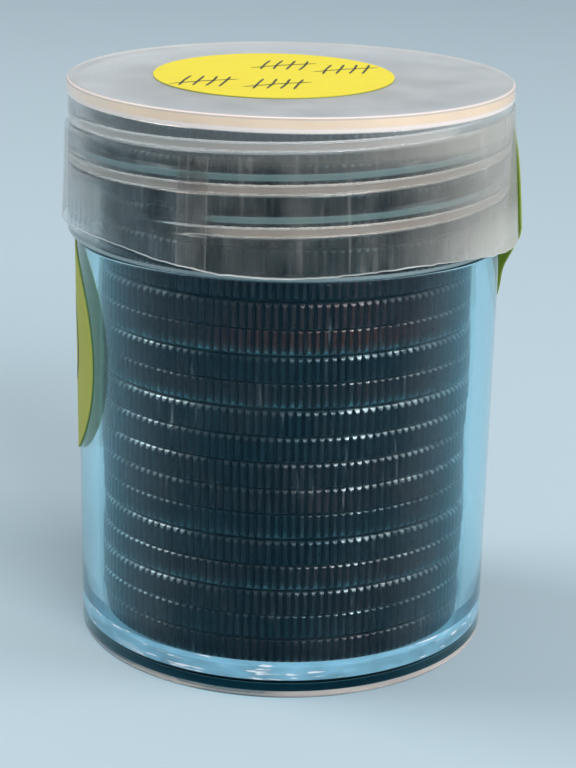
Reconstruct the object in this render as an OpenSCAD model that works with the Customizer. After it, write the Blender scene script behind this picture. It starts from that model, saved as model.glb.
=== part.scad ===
// Screw-top coin tube: a clear moulded tube and screw lid round a stack of
// twenty reeded coins, with a wound tape band and three round stickers.
// Millimetres. Origin at the middle of the foot, +Z up, the seen side is -Y.
// A turn about Z is counted from -Y, positive towards +X.

/* [Coins] */
// Number of coins in the stack
coin_count = 20; // [14:1:40]
// Diameter of a coin over its reeds
coin_d = 30.6; // [24:0.1:40]
// Thickness of a coin over its rims
coin_t = 2.11; // [1.6:0.01:2.6]
// Air between neighbouring coins
coin_gap = 0.04; // [0.04:0.01:0.1]
// Number of reeds round a coin's edge
reed_count = 150; // [60:1:180]
// Depth of the grooves between the reeds
reed_depth = 0.2; // [0.1:0.01:0.3]
// Height and width of the bevel between a coin's reeds and its rim
coin_bevel = 0.22; // [0.1:0.01:0.4]
// Width of the ledge where the reeds end
reed_ledge = 0.05; // [0.02:0.01:0.1]
// Width of the raised rim on each face
coin_rim_w = 0.9; // [0.5:0.05:1.5]
// Depth of the field inside the rim
field_depth = 0.2; // [0.15:0.01:0.4]
// Height of the star and ring over the field
relief_h = 0.12; // [0.05:0.01:0.14]
// Diameter of the ring on each face
relief_ring_d = 19; // [16:0.5:20]
// Width of the ring on each face
relief_ring_w = 0.5; // [0.3:0.05:1]
// Diameter over the tips of the star on each face
star_d = 13; // [8:0.5:14]
// Points of the star
star_points = 8; // [5:1:12]
// How far a coin may stand off the tube's axis
coin_stray = 0.14; // [0:0.01:0.3]
// Turn from one coin to the next
coin_turn = 137; // [0:1:359]

/* [Tube] */
// Play between the coins and the bore, all round
coin_play = 0.4; // [0.35:0.05:0.8]
// Height left free over the coins when the lid is shut
headspace = 0.4; // [0.1:0.05:2]
// Thickness of the wall under the shoulder
wall_t = 1.7; // [1.4:0.05:2.5]
// How much slimmer the wall's outside is at the foot, on the radius
wall_draft = 0.15; // [0:0.05:0.4]
// Thickness of the floor under the coins
floor_t = 2.3; // [1.6:0.1:4]
// Radius of the round where the bore meets the floor
floor_round = 0.15; // [0.1:0.05:0.35]
// Radius of the rounded foot edge
foot_round = 0.4; // [0.2:0.1:1.2]
// Depth of the recess under the foot
recess_depth = 0.9; // [0.1:0.1:1.2]
// How far the recess's wall leans in over that depth
recess_lean = 0.15; // [0.05:0.05:0.6]
// Width of the flat ring that the tube stands on
foot_ring_w = 1.2; // [1:0.1:3]
// Height of the neck over the shoulder
neck_h = 11.1; // [10:0.1:13]
// Thickness of the neck's wall between its threads
neck_wall = 0.75; // [0.6:0.05:0.9]
// Edge round of the shoulder
shoulder_round = 0.35; // [0.1:0.05:0.5]
// Bevel round the mouth
mouth_bevel = 0.2; // [0.1:0.05:0.3]

/* [Lid] */
// Thickness of the lid's disc
lid_disc_t = 1.3; // [1:0.1:2]
// Thickness of the skirt at its open end
skirt_wall = 1; // [0.8:0.05:1.4]
// How much slimmer the lid is at its top, on the radius
lid_draft = 0.05; // [0:0.01:0.2]
// Gap between the shut lid's ceiling and the mouth
mouth_gap = 0.2; // [0.1:0.05:0.5]
// Gap between the shut lid's lower edge and the shoulder
seam_gap = 0.25; // [0.1:0.05:0.8]
// Height of the rim band round the disc
rim_band_h = 1.25; // [0.8:0.05:1.6]
// How far the rim band stands out from the skirt
rim_step = 0.12; // [0.05:0.01:0.3]
// Radius of the lid's top edge
lid_round = 0.3; // [0.1:0.05:0.6]

/* [Screw thread] */
// Rise of the lid in one turn
pitch = 3.2; // [2.8:0.1:4]
// How far each thread stands out of its wall
thread_depth = 0.5; // [0.3:0.05:0.6]
// Play between a thread's crest and the wall that it faces
thread_play = 0.15; // [0.1:0.05:0.2]
// Width of each thread at its wall
thread_root_w = 1; // [0.8:0.05:1.1]
// Width of each thread at its crest
thread_crest_w = 0.45; // [0.3:0.05:0.6]
// Height of the neck's thread over the lid's thread that it bears on
thread_lead = 0.95; // [0.9:0.01:1.2]
// Height of the lid thread's lower end over the shoulder
thread_start_h = 3.35; // [2.5:0.05:4]
// Turn at which both threads start
thread_start_a = -46; // [-180:1:180]
// Share of a turn over which a thread's end runs out
runout_share = 0.09; // [0.05:0.01:0.2]

/* [Stickers] */
// Diameter of the sticker on the lid, from left to right
lid_label_d = 19.4; // [15:0.1:24]
// How much longer that sticker is from front to back
lid_label_extra = 1.8; // [0:0.1:3]
// Place of the lid sticker's middle to the right of the axis
lid_label_x = -1.4; // [-3:0.1:3]
// Place of the lid sticker's middle behind the axis
lid_label_y = -0.3; // [-3:0.1:3]
// Diameter of the stickers on the side and over the seam
side_label_d = 19; // [12:0.5:19]
// Thickness of a sticker
label_t = 0.12; // [0.08:0.01:0.2]
// Glue under a sticker or the tape
glue_t = 0.02; // [0.01:0.005:0.04]
// Depth of the side sticker's middle under the shoulder
side_label_drop = 9.9; // [9.9:0.1:15]
// Turn of the side sticker's middle
side_label_a = -94; // [-120:1:-60]
// Height of the seam sticker's middle over the lid's lower edge
seal_label_rise = 0.75; // [0:0.05:1.5]
// Turn of the seam sticker's middle
seal_label_a = 117; // [90:1:150]
// Height over which the seam sticker comes in from the lid to the tube
seal_fold_h = 3; // [2:0.1:6]
// Air between the loose half of the seam sticker and the side sticker
seal_slack = 0.15; // [0.15:0.05:0.8]

/* [Tape band] */
// Thickness of the wound tape
tape_t = 0.16; // [0.1:0.01:0.25]
// Depth of the tape's upper edge under the lid's top, at the front
tape_drop = 2.85; // [2.6:0.05:3.2]
// How far the tape's upper edge climbs from the front to the right
tape_tilt = 1.1; // [0:0.05:1.2]
// Height of the tape's lower edge over the lid's lower edge, at the front
tape_hem = 0.65; // [0.4:0.05:1]
// How far the tape's lower edge falls from the front to the right
tape_fall = 0.5; // [0:0.05:0.6]
// How far the torn lower edge wanders up and down
tear_h = 0.4; // [0.1:0.05:0.5]
// How far the tape's lower edge stands off the skirt, at the front
tape_flare = 0.42; // [0.2:0.01:0.6]
// How much further it stands off at the right, and less at the left
tape_lean = 0.18; // [0:0.01:0.2]
// Depth of the tape's upright wrinkles
wrinkle_depth = 0.05; // [0.02:0.01:0.1]
// Number of upright wrinkles round the lid
wrinkle_count = 30; // [20:1:40]
// Turn at which the tape starts
tape_start_a = -27; // [-180:1:180]
// Length by which the tape's end laps over its start
tape_lap = 2.5; // [1:0.1:12]

/* [Hidden] */
function coin_name(i) = str("coin_", i < 10 ? "0" : "", i);

full_turn = 360;
front_a = -90;
overrun = 1;
round_fn = 96;
arc_steps = 6;

// Radii from the coins outwards
coin_r = coin_d / 2;
coin_root_r = coin_r - reed_depth;
bore_r = coin_r + coin_play;
neck_r = bore_r + neck_wall;
shoulder_r = bore_r + wall_t;
foot_r = shoulder_r - wall_draft;
skirt_bore_r = neck_r + thread_depth + thread_play;
lid_mouth_r = skirt_bore_r + skirt_wall;
lid_top_r = lid_mouth_r - lid_draft;

// Heights from the foot upwards
coin_pitch = coin_t + coin_gap;
lid_ceiling_h = floor_t + coin_count * coin_pitch + headspace;
mouth_h = lid_ceiling_h - mouth_gap;
shoulder_h = mouth_h - neck_h;
lid_mouth_h = shoulder_h + seam_gap;
lid_top_h = lid_ceiling_h + lid_disc_t;
rim_band_low = lid_top_h - rim_band_h;

// Threads: rings in a turn, and how far a thread's foot is sunk into its wall
thread_steps = 48;
thread_sink = 0.3;
thread_sunk_w = thread_root_w + (thread_root_w - thread_crest_w) * thread_sink / thread_depth;
lid_thread_h = shoulder_h + thread_start_h;
neck_thread_h = lid_thread_h + thread_lead;
lid_thread_turns = (lid_ceiling_h - thread_root_w / 2 - lid_thread_h) / pitch;
neck_thread_turns = (mouth_h - mouth_bevel - thread_sunk_w / 2 - neck_thread_h) / pitch;

// One reed's outline as shares of its width: end of the land, middle of the groove
reed_land_share = 0.5;
reed_groove_share = 0.75;
// Radius of the star's waist as a share of its tips' radius
star_waist_share = 0.45;

side_label_h = shoulder_h - side_label_drop;
seal_label_h = lid_mouth_h + seal_label_rise;
tape_steps = 120;
// Waves of the torn edge round the lid, and the turn of their first rise
tear_waves = 4;
tear_a = 54;

function polar(r, a) = [r * cos(a), r * sin(a)];
function arc_points(c, r, a0, a1) =
    [for (i = [0:arc_steps]) c + polar(r, a0 + (a1 - a0) * i / arc_steps)];
function between(a, b, share) = a + (b - a) * share;
function wall_r(h) = between(foot_r, shoulder_r, h / shoulder_h);
function skirt_r(h) =
    between(lid_mouth_r, lid_top_r - rim_step, (h - lid_mouth_h) / (rim_band_low - lid_mouth_h));

// A screw thread: a trapezium swept up a helix, growing out of its wall at both ends.
// It starts at height h0. way is 1 for a thread that points outwards and -1 inwards.
module thread(wall, way, h0, turns) {
    n = round(turns * thread_steps);
    runout = runout_share * thread_steps;
    sunk_r = wall - way * thread_sink;
    function grow(i) = min(1, i / runout, (n - i) / runout);
    function crest_r(i) = wall + way * between(-thread_sink / 2, thread_depth, grow(i));
    function corner(r, a, h) = concat(polar(r, a), h);
    function ring(i) =
        let (a = front_a + thread_start_a + full_turn * i / thread_steps)
        let (h = h0 + pitch * i / thread_steps)
        [
            corner(sunk_r, a, h - thread_sunk_w / 2),
            corner(crest_r(i), a, h - thread_crest_w / 2),
            corner(crest_r(i), a, h + thread_crest_w / 2),
            corner(sunk_r, a, h + thread_sunk_w / 2)
        ];
    sides = [for (i = [0:n - 1], k = [0:3])
        let (p = 4 * i + k, q = 4 * i + (k + 1) % 4)
        each [[p, q, q + 4], [p, q + 4, p + 4]]];
    first = [[2, 1, 0], [3, 2, 0]];
    last = [for (f = first) [f[2], f[1], f[0]] + 4 * n * [1, 1, 1]];
    faces = concat(sides, first, last);
    polyhedron(
        [for (i = [0:n]) each ring(i)],
        [for (f = faces) way > 0 ? f : [f[2], f[1], f[0]]],
        convexity = 6
    );
}

module tube_body() {
    ring_in_r = foot_r - foot_round - foot_ring_w;
    outline = concat(
        [[0, recess_depth], [ring_in_r - recess_lean, recess_depth], [ring_in_r, 0]],
        arc_points([foot_r - foot_round, foot_round], foot_round, -90, 0),
        arc_points([shoulder_r - shoulder_round, shoulder_h - shoulder_round], shoulder_round, 0, 90),
        [
            [neck_r, shoulder_h],
            [neck_r, mouth_h - mouth_bevel],
            [neck_r - mouth_bevel, mouth_h],
            [bore_r, mouth_h]
        ],
        arc_points([bore_r - floor_round, floor_t + floor_round], floor_round, 0, -90),
        [[0, floor_t]]
    );
    color([0.80, 0.90, 0.95, 0.35]) {
        rotate_extrude($fn = round_fn) polygon(outline);
        thread(neck_r, 1, neck_thread_h, neck_thread_turns);
    }
}

module screw_lid() {
    outline = concat(
        [
            [0, lid_ceiling_h],
            [skirt_bore_r, lid_ceiling_h],
            [skirt_bore_r, lid_mouth_h],
            [lid_mouth_r, lid_mouth_h],
            [lid_top_r - rim_step, rim_band_low],
            [lid_top_r, rim_band_low + rim_step]
        ],
        arc_points([lid_top_r - lid_round, lid_top_h - lid_round], lid_round, 0, 90),
        [[0, lid_top_h]]
    );
    color([0.85, 0.86, 0.87, 0.5]) {
        rotate_extrude($fn = round_fn) polygon(outline);
        thread(skirt_bore_r, -1, lid_thread_h, lid_thread_turns);
    }
}

// The tape winds once round and laps over itself, standing off the skirt more and
// more from the rim band down.
function tape_r(h, a) =
    let (stand = tape_flare + tape_lean * sin(a))
    skirt_r(h) + glue_t + stand * max(0, (rim_band_low - h) / (rim_band_low - lid_mouth_h));
// The two edges at turn a, the lower one torn.
function tape_top(a) = lid_top_h - tape_drop + tape_tilt * sin(a);
function tape_low(a) =
    lid_mouth_h + tape_hem - tape_fall * sin(a) + tear_h * sin(tear_waves * a - tear_a);

module lid_tape() {
    rows = 3;
    loop = 2 * rows;
    sweep = full_turn * (1 + tape_lap / (2 * PI * lid_mouth_r));
    chord = 1 / cos(sweep / tape_steps / 2);
    function point(i, row, off) =
        let (a = tape_start_a + sweep * i / tape_steps)
        let (s = row / (rows - 1), h = between(tape_top(a), tape_low(a), s))
        let (wave = wrinkle_depth * s * (1 + sin(wrinkle_count * a)) / 2)
        let (layer = (tape_t + wrinkle_depth + glue_t) * (a - tape_start_a) / full_turn)
        concat(polar(tape_r(h, a) * chord + wave + layer + off, front_a + a), h);
    points = [for (i = [0:tape_steps])
        each concat(
            [for (row = [0:rows - 1]) point(i, row, tape_t)],
            [for (row = [rows - 1:-1:0]) point(i, row, 0)]
        )];
    sides = [for (i = [0:tape_steps - 1], k = [0:loop - 1])
        let (p = loop * i + k, q = loop * i + (k + 1) % loop)
        each [[p, q + loop, q], [p, p + loop, q + loop]]];
    first = [for (k = [0:rows - 2])
        each [[loop - 1 - k, k, k + 1], [loop - 2 - k, loop - 1 - k, k + 1]]];
    last = [for (f = first) [f[2], f[1], f[0]] + loop * tape_steps * [1, 1, 1]];
    color([0.78, 0.76, 0.72, 0.55])
        polyhedron(points, concat(sides, first, last), convexity = 6);
}

module lid_label() {
    color([0.98, 0.90, 0.10])
        translate([lid_label_x, lid_label_y, lid_top_h])
        linear_extrude(label_t)
        resize([lid_label_d, lid_label_d + lid_label_extra])
        circle(d = lid_label_d, $fn = round_fn);
}

// The flat round sticker on the tube's wall.
module side_label() {
    reach = side_label_d / 2 + glue_t;
    back = [for (h = [side_label_h - reach, side_label_h + reach]) [wall_r(h) + glue_t, h]];
    face = [for (k = [len(back) - 1:-1:0]) back[k] + [label_t, 0]];
    color([0.72, 0.75, 0.20])
        rotate(side_label_a)
        intersection() {
            rotate_extrude($fn = round_fn) polygon(concat(back, face));
            translate([0, 0, side_label_h])
                rotate([90, 0, 0])
                cylinder(d = side_label_d, h = lid_mouth_r + overrun, $fn = round_fn);
        }
}

// The round sticker over the seam: a thin sheet that comes down the tape, folds in
// under the lid and then follows the wall. Its points lie on rings round its middle.
module seal_label() {
    rings = 8;
    n = 40;
    low = seal_label_h - side_label_d / 2;
    // Clear of the tape on the lid, and of the tube and its sticker below the seam
    tape_clear = 2 * (tape_t + wrinkle_depth + glue_t);
    bend = min(tape_low(seal_label_a), lid_mouth_h) - seam_gap;
    fold = bend - seal_fold_h;
    back = [
        [low, wall_r(low) + glue_t + label_t + seal_slack],
        [fold, wall_r(fold) + glue_t + label_t + seal_slack],
        [bend, tape_r(bend, seal_label_a) + tape_clear],
        [rim_band_low, skirt_r(rim_band_low) + glue_t + tape_clear]
    ];
    function spot(ring, k, lift) =
        let (p = polar(side_label_d / 2 * ring / rings, full_turn * k / n))
        let (r = lookup(seal_label_h + p[1], back))
        let (a = seal_label_a + full_turn * p[0] / (2 * PI * r))
        concat(polar(r + lift, front_a + a), seal_label_h + p[1]);
    points = [for (lift = [label_t, 0])
        each concat([spot(0, 0, lift)], [for (ring = [1:rings], k = [0:n - 1]) spot(ring, k, lift)])];
    fan = [for (k = [0:n - 1]) [0, 1 + (k + 1) % n, 1 + k]];
    bands = [for (ring = [1:rings - 1], k = [0:n - 1])
        let (p = 1 + n * (ring - 1) + k, q = 1 + n * (ring - 1) + (k + 1) % n)
        each [[p, q, q + n], [p, q + n, p + n]]];
    sheet = concat(fan, bands);
    shift = 1 + n * rings;
    behind = [for (f = sheet) [f[2], f[1], f[0]] + shift * [1, 1, 1]];
    rim = [for (k = [0:n - 1])
        let (p = shift - n + k, q = shift - n + (k + 1) % n)
        each [[p, q, q + shift], [p, q + shift, p + shift]]];
    color([0.55, 0.62, 0.15])
        polyhedron(points, concat(sheet, behind, rim), convexity = 6);
}

// The reeds: a slice whose edge is a row of lands and V grooves.
module reeded_band() {
    reed_a = full_turn / reed_count;
    translate([0, 0, coin_bevel])
        linear_extrude(coin_t - 2 * coin_bevel)
        polygon([for (k = [0:reed_count - 1])
            each [
                polar(coin_r, reed_a * k),
                polar(coin_r, reed_a * (k + reed_land_share)),
                polar(coin_root_r, reed_a * (k + reed_groove_share))
            ]]);
}

// The coin without its reeds: rims, bevels and a sunk field on each face.
module coin_blank() {
    core_r = coin_root_r - reed_ledge;
    rim_r = core_r - coin_bevel;
    field_r = rim_r - coin_rim_w;
    rotate_extrude($fn = round_fn)
        polygon([
            [0, field_depth],
            [field_r - field_depth, field_depth],
            [field_r, 0],
            [rim_r, 0],
            [core_r, coin_bevel],
            [core_r, coin_t - coin_bevel],
            [rim_r, coin_t],
            [field_r, coin_t],
            [field_r - field_depth, coin_t - field_depth],
            [0, coin_t - field_depth]
        ]);
}

// A plain star inside a ring, the same on both faces.
module coin_relief() {
    tall = coin_t - 2 * (field_depth - relief_h);
    tip_r = star_d / 2;
    step_a = full_turn / star_points;
    translate([0, 0, field_depth - relief_h]) {
        linear_extrude(tall)
            polygon([for (k = [0:star_points - 1])
                each [polar(tip_r, step_a * k), polar(tip_r * star_waist_share, step_a * (k + 1 / 2))]]);
        difference() {
            cylinder(d = relief_ring_d, h = tall, $fn = round_fn);
            translate([0, 0, -overrun])
                cylinder(d = relief_ring_d - 2 * relief_ring_w, h = tall + 2 * overrun, $fn = round_fn);
        }
    }
}

// Coin number i counted from the floor, a little off the axis as loose coins lie.
module coin(i) {
    stray = coin_stray * (1 + i % 3) / 3;
    place = polar(stray, coin_turn * i / 2);
    color([0.25, 0.35, 0.40])
        translate(concat(place, floor_t + coin_gap + coin_pitch * (i - 1)))
        rotate(coin_turn * i)
        union() {
            reeded_band();
            coin_blank();
            coin_relief();
        }
}

tube_body();
screw_lid();
lid_tape();
lid_label();
side_label();
seal_label();
for (i = [1:coin_count])
    coin(i);
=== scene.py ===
"""The looks of a screw-top coin tube: clear plastic, wound tape, round stickers and toned coins.
Metres, +Z up. The seen side is -Y. A turn about Z is counted from -Y, positive towards +X."""
import math

import bmesh
import bpy
import numpy as np
from mathutils import Matrix, Vector, noise


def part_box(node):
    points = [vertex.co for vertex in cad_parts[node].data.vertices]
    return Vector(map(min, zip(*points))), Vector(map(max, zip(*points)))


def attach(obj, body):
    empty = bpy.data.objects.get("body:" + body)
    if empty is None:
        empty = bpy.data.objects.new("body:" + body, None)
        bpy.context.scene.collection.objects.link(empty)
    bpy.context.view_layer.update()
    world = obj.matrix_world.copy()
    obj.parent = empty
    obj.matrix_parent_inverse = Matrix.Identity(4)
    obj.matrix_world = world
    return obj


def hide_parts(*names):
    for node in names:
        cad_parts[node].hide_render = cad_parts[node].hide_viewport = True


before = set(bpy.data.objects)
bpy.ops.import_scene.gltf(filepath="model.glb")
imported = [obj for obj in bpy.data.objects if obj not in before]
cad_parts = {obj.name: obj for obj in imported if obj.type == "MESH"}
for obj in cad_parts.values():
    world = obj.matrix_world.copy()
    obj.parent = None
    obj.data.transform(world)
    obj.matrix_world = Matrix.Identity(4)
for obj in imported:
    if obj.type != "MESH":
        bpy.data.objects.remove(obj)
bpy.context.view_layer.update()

MM = 0.001
FULL = 2 * math.pi
# The seen side's direction, in radians from +X
FRONT = -math.pi / 2

# Sizes read off the frame, in millimetres
coin_low, coin_high = [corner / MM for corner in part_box("coin_01")]
tube_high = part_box("tube_body")[1] / MM
lid_low, lid_high = [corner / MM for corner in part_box("screw_lid")]
COIN_NODES = sorted(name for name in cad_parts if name.startswith("coin_"))
COIN_R = (coin_high.x - coin_low.x) / 2
COIN_T = coin_high.z - coin_low.z
MOUTH_H = tube_high.z
LID_MOUTH_H = lid_low.z
LID_TOP_H = lid_high.z

# Tube, in millimetres
BORE_R = COIN_R + 0.4
WALL_T = 1.7
WALL_DRAFT = 0.15
FLOOR_T = 2.3
FLOOR_ROUND = 0.15
WALL_ROWS = 12
FOOT_ROUND = 0.4
FOOT_INNER_ROUND = 0.1
RECESS_DEPTH = 0.9
RECESS_LEAN = 0.15
FOOT_RING_W = 1.2
NECK_H = 11.1
NECK_R = BORE_R + 0.75
SHOULDER_ROUND = 0.35
MOUTH_BEVEL = 0.2
MOUTH_INNER_ROUND = 0.08
SHOULDER_R = BORE_R + WALL_T
FOOT_R = SHOULDER_R - WALL_DRAFT
RECESS_R = FOOT_R - FOOT_ROUND - FOOT_RING_W
SHOULDER_H = MOUTH_H - NECK_H
# The base's bands from the table up: a painted highlight on the foot, painted shade, then painted light by
# the floor
FOOT_HIGHLIGHT_H = 0.76
BASE_PAINTED_LIGHT_LOW_H = 1.7
BASE_PAINTED_LIGHT_HIGH_H = FLOOR_T + 0.95
BAND_SOFT = 0.06

# Lid, in millimetres
LID_DISC_T = 1.3
LID_BORE_R = NECK_R + 0.65
LID_MOUTH_R = LID_BORE_R + 1
LID_TOP_R = LID_MOUTH_R - 0.05
RIM_BAND_H = 1.25
RIM_STEP = 0.12
LID_ROUND = 0.3
LID_MOUTH_ROUND = 0.15
CEILING_BEVEL = 0.1
LID_CEILING_H = LID_TOP_H - LID_DISC_T
RIM_LOW_H = LID_TOP_H - RIM_BAND_H

# Screw thread, in millimetres, with its start as a turn in degrees. The lid's lies lower than the neck's.
PITCH = 3.2
THREAD_DEPTH = 0.5
THREAD_ROOT_W = 1.0
THREAD_CREST_W = 0.45
THREAD_START_A = -46
RUNOUT_SHARE = 0.09
LID_THREAD_H = SHOULDER_H + 3.35
NECK_THREAD_H = LID_THREAD_H + 0.95
LID_THREAD_TOP_H = LID_CEILING_H - THREAD_ROOT_W / 2
NECK_THREAD_TOP_H = MOUTH_H - MOUTH_BEVEL - 0.67
LID_TURNS = (LID_THREAD_TOP_H - LID_THREAD_H) / PITCH
NECK_TURNS = (NECK_THREAD_TOP_H - NECK_THREAD_H) / PITCH

# Tape, in millimetres and degrees. Its film is drawn thinner than the solid's sheet, TAPE_T, and the lap
# lies TAPE_LAYER outside the start.
TAPE_T = 0.16
TAPE_FILM_T = 0.09
TAPE_LAYER = 0.13
TAPE_GAP = 0.02
TAPE_FLARE = 0.42
TAPE_LEAN = 0.18
TAPE_START_A = -27
TAPE_LAP = 2.5
TAPE_TOP_H = LID_TOP_H - 2.85
TAPE_TOP_TILT = 1.1
TAPE_LOW_H = LID_MOUTH_H + 0.65
TAPE_LOW_TILT = 0.5
TAPE_SAG = 0.4
TAPE_SAG_A = 54
TAPE_COLUMNS = 900
TAPE_ROWS = 18

# Stickers, in millimetres and degrees
LABEL_T = 0.12
INK_T = 0.012
LID_LABEL_D = 19.4
LID_LABEL_EXTRA = 1.8
LID_LABEL_AT = (-1.4, -0.3)
SIDE_LABEL_D = 19
SIDE_LABEL_H = SHOULDER_H - 9.9
SIDE_LABEL_A = -94
SEAL_LABEL_H = LID_MOUTH_H + 0.75
SEAL_LABEL_A = 117
SEAL_BEND_H = LID_MOUTH_H - 0.25
SEAL_TENT_H = 3
SEAL_WALL_CLEAR = TAPE_GAP + LABEL_T + 0.15
SEAL_TAPE_CLEAR = 2 * TAPE_T + 0.08
SEAL_RINGS = 40
DISC_COLUMNS = 96
# Pen strokes, as places on a sticker from its middle
PEN_W = 0.2
SIDE_PEN_W = 0.55
TALLY_SLANT = 0.18
TALLY_L = 4.2
TALLY_STEP = 1.05
TALLY_AT = [(0.8, 4.0), (5.9, 2.7), (-5.4, -3.6), (0.4, -4.3)]
SIDE_PEN_PATH = [(3.0, 4.6), (4.5, 2.9), (5.3, 0.7), (5.1, -1.0), (3.6, -2.7)]

# Columns of a turned piece, and the distances in metres under which points and edges merge
COLUMNS = 360
WELD = 2e-7
DUST = 1e-8


# Geometry helpers. Lengths are in millimetres until a piece is made.

def spin(radius, height, angle):
    """A point at a radius, a height and an angle in radians counted from the front."""
    return (radius * np.cos(FRONT + angle), radius * np.sin(FRONT + angle), height)


def round_row(radius, height, angles):
    """A row of points round the axis. The radius and the height are numbers or one for each angle."""
    return list(zip(*spin(radius, np.broadcast_to(height, angles.shape), angles)))


def arc(centre, radius, start, end, steps):
    """Points of a profile's round, from one angle to another in degrees."""
    angles = np.radians(np.linspace(start, end, steps + 1))
    return [(centre[0] + radius * math.cos(a), centre[1] + radius * math.sin(a)) for a in angles]


def smooth_step(share):
    """A share that starts and ends softly, kept from 0 to 1."""
    share = np.clip(share, 0, 1)
    return share * share * (3 - 2 * share)


def grid_faces(rows, columns, first=0):
    """Quads of a grid of points laid out row by row. It closes on itself across the columns."""
    faces = []
    for row in range(rows - 1):
        for column in range(columns):
            a = first + row * columns + column
            b = first + row * columns + (column + 1) % columns
            faces.append((a, b, b + columns, a + columns))
    return faces


def lathe(profile):
    """Points and faces of a profile of (radius, height) turned round the axis."""
    angles = np.arange(COLUMNS) * FULL / COLUMNS
    points = []
    for radius, height in profile:
        points += round_row(radius, height, angles)
    return points, grid_faces(len(profile), COLUMNS)


def thread_band(wall_r, way, start_h, turns, low, high):
    """A round wall from low to high with a rounded screw thread, outwards where way is 1 and inwards where
    it is -1. Its rows follow the helix. The third result says how far each point stands on the thread,
    from 0 to 1."""
    half_root, half_crest = THREAD_ROOT_W / 2, THREAD_CREST_W / 2
    flank = half_root - half_crest
    crest_end, root_end = half_crest * 0.8, half_root + flank * 0.2
    # Heights of the rows from the crest's middle, close together over the flank
    beside = [half_crest * 0.55, half_crest, half_crest + flank * 0.35, half_crest + flank * 0.7,
              half_root, half_root + flank * 0.4]
    offsets = sorted([-b for b in beside] + [0] + beside + [PITCH / 2])
    per_pitch = len(offsets)
    first_turn = math.floor((low - start_h) / PITCH) - 2
    last_turn = math.ceil((high - start_h) / PITCH) + 2
    start = math.radians(THREAD_START_A)
    points, crests = [], []
    for turn in range(first_turn, last_turn + 1):
        for offset in offsets:
            shape = 1 - smooth_step((abs(offset) - crest_end) / (root_end - crest_end))
            for column in range(COLUMNS):
                angle = FULL * column / COLUMNS
                along = turn + (angle - start) / FULL
                height = start_h + PITCH * along + offset
                grow = smooth_step(min(along, turns - along) / RUNOUT_SHARE)
                radius = wall_r + way * THREAD_DEPTH * shape * float(grow)
                if height <= low or height >= high:
                    radius = wall_r
                points.append(spin(radius, min(max(height, low), high), angle))
                crests.append(abs(radius - wall_r) / THREAD_DEPTH)
    rows = (last_turn - first_turn + 1) * per_pitch
    faces = []
    # The last column joins the first one a pitch further up
    for row in range(rows - 1):
        for column in range(COLUMNS):
            shift = per_pitch if column == COLUMNS - 1 else 0
            a = row * COLUMNS + column
            b = (row + shift) * COLUMNS + (column + 1) % COLUMNS
            if row + shift + 1 < rows:
                faces.append((a, b, b + COLUMNS, a + COLUMNS))
    return points, faces, crests


def threaded(outside, band, inside):
    """A turned outside and inside joined to a thread, with the thread's marks."""
    outer, inner = lathe(outside), lathe(inside)
    shape = join(outer, band[:2], inner)
    return shape, {"thread": [0.0] * len(outer[0]) + band[2] + [0.0] * len(inner[0])}


def join(*shapes):
    """One list of points and one of faces from several (points, faces)."""
    points, faces = [], []
    for some_points, some_faces in shapes:
        first = len(points)
        points += list(some_points)
        faces += [tuple(first + i for i in face) for face in some_faces]
    return points, faces


def make_piece(name, shape, material, body, node=None, sharp_deg=35, marks=None):
    """A mesh object of a shape in millimetres, riding a body, in place of a node if one is given."""
    points, faces = shape
    mesh = bpy.data.meshes.new(name)
    mesh.from_pydata([tuple(MM * c for c in p) for p in points], [], faces)
    for key, values in (marks or {}).items():
        mesh.attributes.new(key, "FLOAT", "POINT").data.foreach_set("value", np.asarray(values, np.float32))
    bm = bmesh.new()
    bm.from_mesh(mesh)
    bmesh.ops.remove_doubles(bm, verts=bm.verts, dist=WELD)
    bmesh.ops.dissolve_degenerate(bm, edges=bm.edges, dist=DUST)
    bmesh.ops.recalc_face_normals(bm, faces=bm.faces)
    bm.to_mesh(mesh)
    bm.free()
    mesh.shade_smooth()
    mesh.set_sharp_from_angle(angle=math.radians(sharp_deg))
    mesh.materials.append(material)
    piece = bpy.data.objects.new(name, mesh)
    bpy.context.scene.collection.objects.link(piece)
    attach(piece, body)
    if node:
        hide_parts(node)


# Material helpers

def make_node(tree, kind, inputs=None, **settings):
    """A shader node with its settings. An input takes a value or another node's socket."""
    node = tree.nodes.new("ShaderNode" + kind)
    for key, value in settings.items():
        setattr(node, key, value)
    for key, value in (inputs or {}).items():
        if isinstance(value, bpy.types.NodeSocket):
            tree.links.new(value, node.inputs[key])
        else:
            node.inputs[key].default_value = value
    return node


def new_material(name):
    """An empty material and its node tree."""
    material = bpy.data.materials.new(name)
    material.use_nodes = True
    material.node_tree.nodes.clear()
    return material, material.node_tree


def show(tree, shader):
    """Make a shader the surface of its material."""
    make_node(tree, "OutputMaterial", {"Surface": shader})


def mark(tree, name):
    """One of the marks that make_piece writes on a piece's points."""
    return make_node(tree, "Attribute", attribute_name=name).outputs["Fac"]


def place(tree, scale=(1, 1, 1)):
    """The piece's own coordinates in millimetres, stretched by a scale."""
    own = make_node(tree, "TexCoord").outputs["Object"]
    whole = tuple(s / MM for s in scale)
    return make_node(tree, "Mapping", {"Vector": own, "Scale": whole}).outputs["Vector"]


def height_mm(tree):
    """The piece's own height in millimetres."""
    return make_node(tree, "SeparateXYZ", {"Vector": place(tree)}).outputs["Z"]


def across_mm(tree):
    """The piece's own X in millimetres, from left to right as the photograph shows it."""
    return make_node(tree, "SeparateXYZ", {"Vector": place(tree)}).outputs["X"]


def radius_mm(tree):
    """The distance from the piece's own Z axis in millimetres."""
    return make_node(tree, "VectorMath", {0: place(tree, (1, 1, 0))}, operation="LENGTH").outputs["Value"]


def between(tree, value, low, high, soft=0.1):
    """1 where a value lies from low to high, with soft ends."""
    return product(tree, ramp(tree, value, low - soft, low), ramp(tree, value, high + soft, high))


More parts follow.
